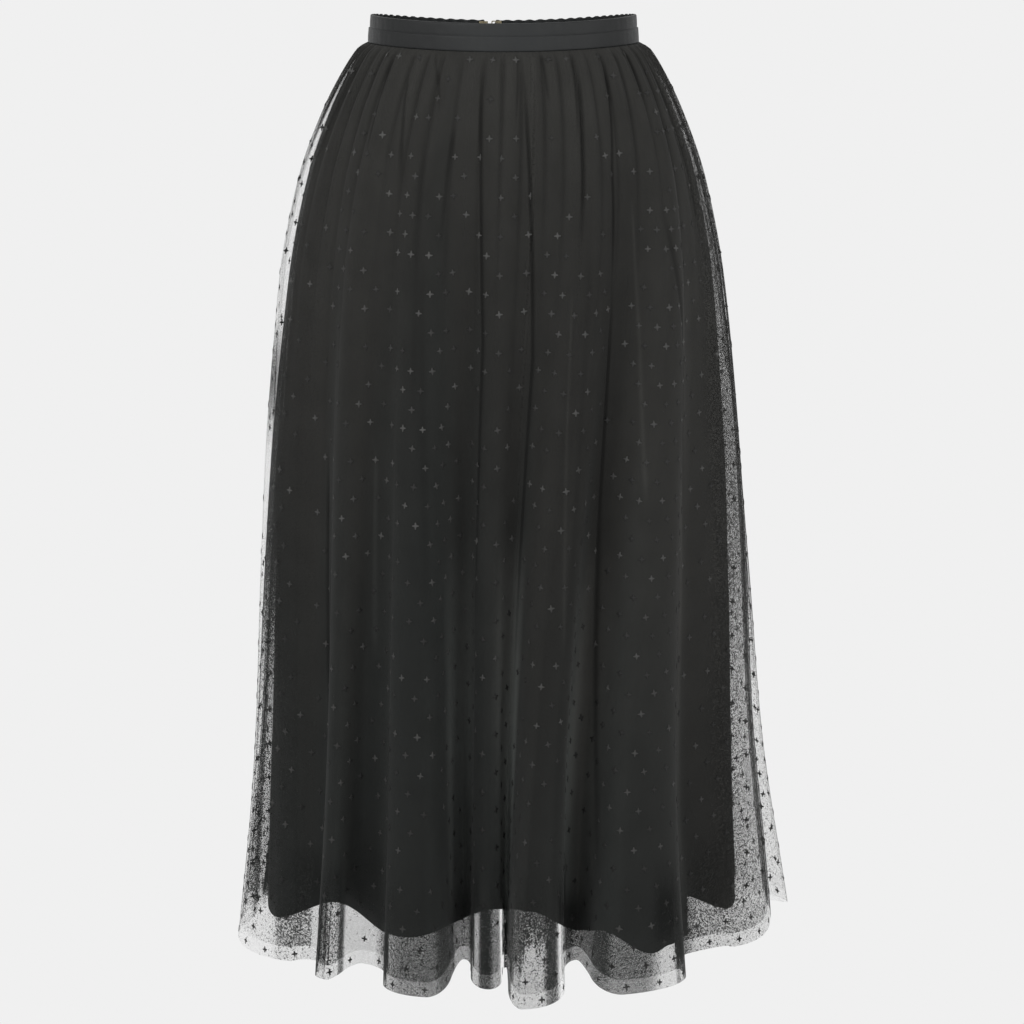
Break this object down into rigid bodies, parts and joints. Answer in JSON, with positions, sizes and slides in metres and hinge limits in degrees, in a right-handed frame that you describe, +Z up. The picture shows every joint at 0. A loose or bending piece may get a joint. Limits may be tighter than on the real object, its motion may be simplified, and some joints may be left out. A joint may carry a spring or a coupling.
{
  "type": "tulle skirt",
  "caption": "Gathered midi skirt of spotted net over plain net and a shorter lining, on a folded waistband with a gathered back, a short zip and a hook and eye.",
  "frame": {"origin": "the middle of the waist opening, at the middle of the waistband's height", "axes": "+Z up, towards the waist. The front faces -Y, and +X is to the right of someone who looks at the front."},
  "size_m": [0.4988, 0.4415, 0.8227],
  "materials": {
    "satin": "soft satin",
    "spotted_net": "fine open net with small woven spots",
    "plain_net": "fine open net",
    "lining": "smooth plain weave",
    "zip_tape": "ribbed tape",
    "zip_metal": "black enamel",
    "fastener_metal": "pale gold plating"
  },
  "bodies": {
    "skirt": {"waistband_front": "satin", "waistband_back_right": "satin", "waistband_back_left": "satin", "outer_net_front": "spotted_net", "outer_net_back_right": "spotted_net", "outer_net_back_left": "spotted_net", "under_net_front": "plain_net", "under_net_back_right": "plain_net", "under_net_back_left": "plain_net", "lining_front": "lining", "lining_back_right": "lining", "lining_back_left": "lining", "zip_tape_left": "zip_tape", "zip_tape_right": "zip_tape", "zip_slider": "zip_metal", "hook": "fastener_metal", "eye": "fastener_metal"},
    "pull": {"zip_pull": "zip_metal"}
  },
  "joints": [
    {"name": "pull_swing", "type": "hinge", "parent": "skirt", "child": "pull", "pos_m": [-0.01232, 0.08871, -0.0032], "axis": [0.9969, 0.0788, 0], "range_deg": [0, 150]}
  ]
}
